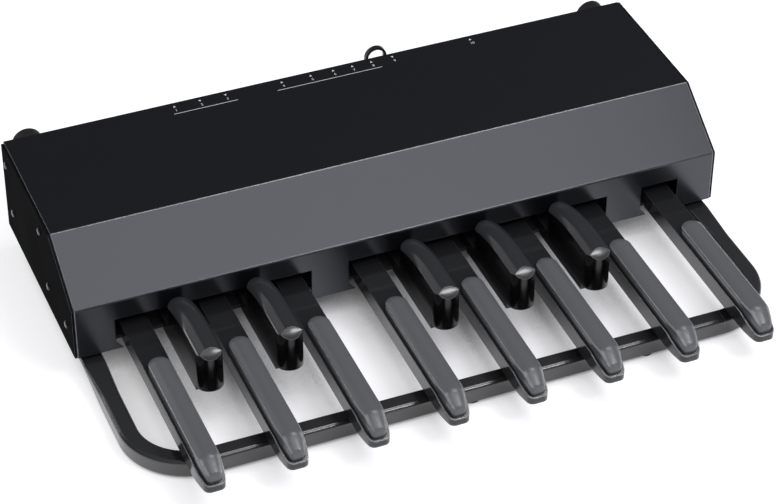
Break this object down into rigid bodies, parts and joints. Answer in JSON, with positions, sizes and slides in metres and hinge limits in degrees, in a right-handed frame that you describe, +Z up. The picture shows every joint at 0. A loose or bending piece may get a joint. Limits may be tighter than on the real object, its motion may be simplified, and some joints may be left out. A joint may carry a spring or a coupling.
{
  "type": "bass pedalboard",
  "caption": "Foot-operated bass pedalboard: natural and raised sharp pedals hinged in a low sloping sheet-metal housing, with a tubular floor frame in front and rear sockets.",
  "frame": {"origin": "centre of the footprint on the floor, under the middle of the bounding box", "axes": "+Z up, +X along the row of pedals towards the high notes, -Y towards the player and the pedal tips"},
  "size_m": [0.5592, 0.3854, 0.1095],
  "materials": {
    "cover_paint": "satin dark grey powder coat",
    "panel_paint": "satin black powder coat",
    "frame_paint": "semi-gloss black paint",
    "arm_plastic": "satin black moulding",
    "natural_cap_plastic": "satin dark grey moulding",
    "sharp_cap_plastic": "polished black moulding",
    "screw_black": "blackened steel",
    "plated_steel": "zinc plated steel",
    "spring_steel": "spring steel strip",
    "spacer_plastic": "natural nylon",
    "felt": "pressed felt",
    "rubber": "matt black rubber",
    "circuit_board": "glass fibre board with solder mask",
    "socket_plastic": "matt black moulding",
    "control_metal": "plain pressed metal",
    "knob_plastic": "satin black moulding"
  },
  "bodies": {
    "chassis": {"top_cover": "cover_paint", "rear_panel": "panel_paint", "bottom_plate": "panel_paint", "left_end_plate": "panel_paint", "right_end_plate": "panel_paint", "left_rail": "frame_paint", "right_rail": "frame_paint", "front_bar": "frame_paint", "end_plate_screws": "screw_black", "rail_bolts": "plated_steel", "rail_spacers": "plated_steel", "pivot_rod": "plated_steel", "pivot_brackets": "plated_steel", "upper_stop_bar": "plated_steel", "return_springs": "spring_steel", "pivot_spacers": "spacer_plastic", "upper_stop_felt": "felt", "lower_stop_felt": "felt", "frame_pads": "rubber", "rear_feet": "rubber", "rear_bumpers": "rubber", "sensor_board": "circuit_board", "main_board": "circuit_board", "midi_sockets": "socket_plastic", "line_out_jack": "socket_plastic", "dc_socket": "socket_plastic", "power_switch": "socket_plastic", "cord_hook": "socket_plastic", "potentiometers": "control_metal"},
    "natural_pedal_1": {"natural_arm_1": "arm_plastic", "natural_cap_1": "natural_cap_plastic"},
    "natural_pedal_2": {"natural_arm_2": "arm_plastic", "natural_cap_2": "natural_cap_plastic"},
    "natural_pedal_3": {"natural_arm_3": "arm_plastic", "natural_cap_3": "natural_cap_plastic"},
    "natural_pedal_4": {"natural_arm_4": "arm_plastic", "natural_cap_4": "natural_cap_plastic"},
    "natural_pedal_5": {"natural_arm_5": "arm_plastic", "natural_cap_5": "natural_cap_plastic"},
    "natural_pedal_6": {"natural_arm_6": "arm_plastic", "natural_cap_6": "natural_cap_plastic"},
    "natural_pedal_7": {"natural_arm_7": "arm_plastic", "natural_cap_7": "natural_cap_plastic"},
    "natural_pedal_8": {"natural_arm_8": "arm_plastic", "natural_cap_8": "natural_cap_plastic"},
    "sharp_pedal_1": {"sharp_arm_1": "arm_plastic", "sharp_cap_1": "sharp_cap_plastic"},
    "sharp_pedal_2": {"sharp_arm_2": "arm_plastic", "sharp_cap_2": "sharp_cap_plastic"},
    "sharp_pedal_3": {"sharp_arm_3": "arm_plastic", "sharp_cap_3": "sharp_cap_plastic"},
    "sharp_pedal_4": {"sharp_arm_4": "arm_plastic", "sharp_cap_4": "sharp_cap_plastic"},
    "sharp_pedal_5": {"sharp_arm_5": "arm_plastic", "sharp_cap_5": "sharp_cap_plastic"},
    "knob_1": {"control_knob_1": "knob_plastic"},
    "knob_2": {"control_knob_2": "knob_plastic"},
    "knob_3": {"control_knob_3": "knob_plastic"},
    "knob_4": {"control_knob_4": "knob_plastic"},
    "button": {"power_button": "knob_plastic"}
  },
  "joints": [
    {"name": "natural_pedal_1_press", "type": "hinge", "parent": "chassis", "child": "natural_pedal_1", "pos_m": [-0.2275, 0.15865, 0.0343], "axis": [1, 0, 0], "range_deg": [0, 1.6], "stiffness_Nm_per_rad": 20, "springref_deg": -5.73, "deforming": ["return_springs"]},
    {"name": "natural_pedal_2_press", "type": "hinge", "parent": "chassis", "child": "natural_pedal_2", "pos_m": [-0.1625, 0.15865, 0.0343], "axis": [1, 0, 0], "range_deg": [0, 1.6], "stiffness_Nm_per_rad": 20, "springref_deg": -5.73, "deforming": ["return_springs"]},
    {"name": "natural_pedal_3_press", "type": "hinge", "parent": "chassis", "child": "natural_pedal_3", "pos_m": [-0.0975, 0.15865, 0.0343], "axis": [1, 0, 0], "range_deg": [0, 1.6], "stiffness_Nm_per_rad": 20, "springref_deg": -5.73, "deforming": ["return_springs"]},
    {"name": "natural_pedal_4_press", "type": "hinge", "parent": "chassis", "child": "natural_pedal_4", "pos_m": [-0.0325, 0.15865, 0.0343], "axis": [1, 0, 0], "range_deg": [0, 1.6], "stiffness_Nm_per_rad": 20, "springref_deg": -5.73, "deforming": ["return_springs"]},
    {"name": "natural_pedal_5_press", "type": "hinge", "parent": "chassis", "child": "natural_pedal_5", "pos_m": [0.0325, 0.15865, 0.0343], "axis": [1, 0, 0], "range_deg": [0, 1.6], "stiffness_Nm_per_rad": 20, "springref_deg": -5.73, "deforming": ["return_springs"]},
    {"name": "natural_pedal_6_press", "type": "hinge", "parent": "chassis", "child": "natural_pedal_6", "pos_m": [0.0975, 0.15865, 0.0343], "axis": [1, 0, 0], "range_deg": [0, 1.6], "stiffness_Nm_per_rad": 20, "springref_deg": -5.73, "deforming": ["return_springs"]},
    {"name": "natural_pedal_7_press", "type": "hinge", "parent": "chassis", "child": "natural_pedal_7", "pos_m": [0.1625, 0.15865, 0.0343], "axis": [1, 0, 0], "range_deg": [0, 1.6], "stiffness_Nm_per_rad": 20, "springref_deg": -5.73, "deforming": ["return_springs"]},
    {"name": "natural_pedal_8_press", "type": "hinge", "parent": "chassis", "child": "natural_pedal_8", "pos_m": [0.2275, 0.15865, 0.0343], "axis": [1, 0, 0], "range_deg": [0, 1.6], "stiffness_Nm_per_rad": 20, "springref_deg": -5.73, "deforming": ["return_springs"]},
    {"name": "sharp_pedal_1_press", "type": "hinge", "parent": "chassis", "child": "sharp_pedal_1", "pos_m": [-0.195, 0.15865, 0.0343], "axis": [1, 0, 0], "range_deg": [0, 1.6], "stiffness_Nm_per_rad": 20, "springref_deg": -5.73, "deforming": ["return_springs"]},
    {"name": "sharp_pedal_2_press", "type": "hinge", "parent": "chassis", "child": "sharp_pedal_2", "pos_m": [-0.13, 0.15865, 0.0343], "axis": [1, 0, 0], "range_deg": [0, 1.6], "stiffness_Nm_per_rad": 20, "springref_deg": -5.73, "deforming": ["return_springs"]},
    {"name": "sharp_pedal_3_press", "type": "hinge", "parent": "chassis", "child": "sharp_pedal_3", "pos_m": [0, 0.15865, 0.0343], "axis": [1, 0, 0], "range_deg": [0, 1.6], "stiffness_Nm_per_rad": 20, "springref_deg": -5.73, "deforming": ["return_springs"]},
    {"name": "sharp_pedal_4_press", "type": "hinge", "parent": "chassis", "child": "sharp_pedal_4", "pos_m": [0.065, 0.15865, 0.0343], "axis": [1, 0, 0], "range_deg": [0, 1.6], "stiffness_Nm_per_rad": 20, "springref_deg": -5.73, "deforming": ["return_springs"]},
    {"name": "sharp_pedal_5_press", "type": "hinge", "parent": "chassis", "child": "sharp_pedal_5", "pos_m": [0.13, 0.15865, 0.0343], "axis": [1, 0, 0], "range_deg": [0, 1.6], "stiffness_Nm_per_rad": 20, "springref_deg": -5.73, "deforming": ["return_springs"]},
    {"name": "knob_1_turn", "type": "hinge", "parent": "chassis", "child": "knob_1", "pos_m": [-0.012, 0.17965, 0.062], "axis": [0, 1, 0], "range_deg": [-150, 150]},
    {"name": "knob_2_turn", "type": "hinge", "parent": "chassis", "child": "knob_2", "pos_m": [0.0081, 0.17965, 0.062], "axis": [0, 1, 0], "range_deg": [-150, 150]},
    {"name": "knob_3_turn", "type": "hinge", "parent": "chassis", "child": "knob_3", "pos_m": [0.0254, 0.17965, 0.062], "axis": [0, 1, 0], "range_deg": [-150, 150]},
    {"name": "knob_4_turn", "type": "hinge", "parent": "chassis", "child": "knob_4", "pos_m": [0.0427, 0.17965, 0.062], "axis": [0, 1, 0], "range_deg": [-150, 150]},
    {"name": "button_press", "type": "slide", "parent": "chassis", "child": "button", "axis": [0, -1, 0], "range_m": [0, 0.003], "stiffness_N_per_m": 600, "springref_m": -0.002}
  ]
}
